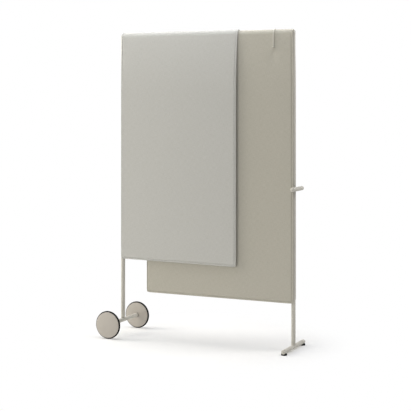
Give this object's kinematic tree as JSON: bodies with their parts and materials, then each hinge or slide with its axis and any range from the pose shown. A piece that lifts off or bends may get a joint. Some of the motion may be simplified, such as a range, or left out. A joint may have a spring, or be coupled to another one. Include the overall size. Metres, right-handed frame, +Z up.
{
  "type": "rolling partition",
  "caption": "Wheeled room screen: a slim tube frame on two wheels and a foot bar, with padded fabric covers folded over its top rail, a side push handle and a small hook.",
  "frame": {"origin": "on the floor, under the middle of the object's outer box", "axes": "+X along the screen from the wheels to the foot, +Y away from the front, +Z up"},
  "size_m": [1.1198, 0.3446, 1.6711],
  "materials": {
    "frame_paint": "satin powder coat, warm light grey",
    "wheel_plastic": "fine matte moulding",
    "nylon": "dark moulded nylon",
    "tyre": "solid round rubber cord, matte",
    "pad_rubber": "moulded matte rubber",
    "steel": "zinc plated",
    "beige_fabric": "warm beige felted textile, padded",
    "grey_fabric": "light warm grey felted textile, padded"
  },
  "bodies": {
    "frame": {"left_upright": "frame_paint", "right_upright": "frame_paint", "top_rail": "frame_paint", "cross_rail": "frame_paint", "left_corner_connector": "nylon", "right_corner_connector": "nylon", "corner_grub_screws": "steel", "cross_rail_inserts": "nylon", "cross_rail_screws": "steel", "cross_rail_saddle_washers": "steel", "cross_rail_hole_plugs": "frame_paint", "axle_tube": "frame_paint", "left_upright_insert": "nylon", "axle_screw": "steel", "axle_saddle_washer": "steel", "axle_hole_plug": "frame_paint", "front_stub_axle": "steel", "rear_stub_axle": "steel", "front_wheel_washer": "steel", "rear_wheel_washer": "steel", "front_wheel_screw": "steel", "rear_wheel_screw": "steel", "foot_tube": "frame_paint", "front_foot_cap": "frame_paint", "rear_foot_cap": "frame_paint", "front_foot_pad": "pad_rubber", "rear_foot_pad": "pad_rubber", "foot_pad_screws": "steel", "right_upright_insert": "nylon", "foot_screw": "steel", "foot_saddle_washer": "steel", "foot_hole_plug": "frame_paint", "handle_tube": "frame_paint", "front_handle_cap": "frame_paint", "rear_handle_cap": "frame_paint", "handle_insert": "nylon", "handle_screw": "steel", "handle_saddle_washer": "steel", "handle_hole_plug": "frame_paint"},
    "front_wheel": {"front_wheel_core": "wheel_plastic", "front_wheel_tyre": "tyre", "front_wheel_outer_cover": "wheel_plastic", "front_wheel_inner_cover": "wheel_plastic", "front_wheel_bush": "nylon"},
    "rear_wheel": {"rear_wheel_core": "wheel_plastic", "rear_wheel_tyre": "tyre", "rear_wheel_outer_cover": "wheel_plastic", "rear_wheel_inner_cover": "wheel_plastic", "rear_wheel_bush": "nylon"},
    "rear_cover": {"rear_cover": "beige_fabric"},
    "front_cover": {"front_cover": "grey_fabric"},
    "hook": {"hook_strap": "frame_paint", "hook_peg": "frame_paint"}
  },
  "joints": [
    {"name": "front_wheel_spin", "type": "hinge", "parent": "frame", "child": "front_wheel", "pos_m": [-0.48495, -0.1635, 0.075], "axis": [0, 1, 0], "continuous": true},
    {"name": "rear_wheel_spin", "type": "hinge", "parent": "frame", "child": "rear_wheel", "pos_m": [-0.48495, 0.1635, 0.075], "axis": [0, 1, 0], "continuous": true},
    {"name": "rear_cover_slide", "type": "slide", "parent": "frame", "child": "rear_cover", "axis": [1, 0, 0], "range_m": [-0.06, 0]},
    {"name": "front_cover_slide", "type": "slide", "parent": "frame", "child": "front_cover", "axis": [1, 0, 0], "range_m": [-0.02, 0.12]},
    {"name": "hook_slide", "type": "slide", "parent": "rear_cover", "child": "hook", "axis": [1, 0, 0], "range_m": [-0.02, 0.085]}
  ]
}
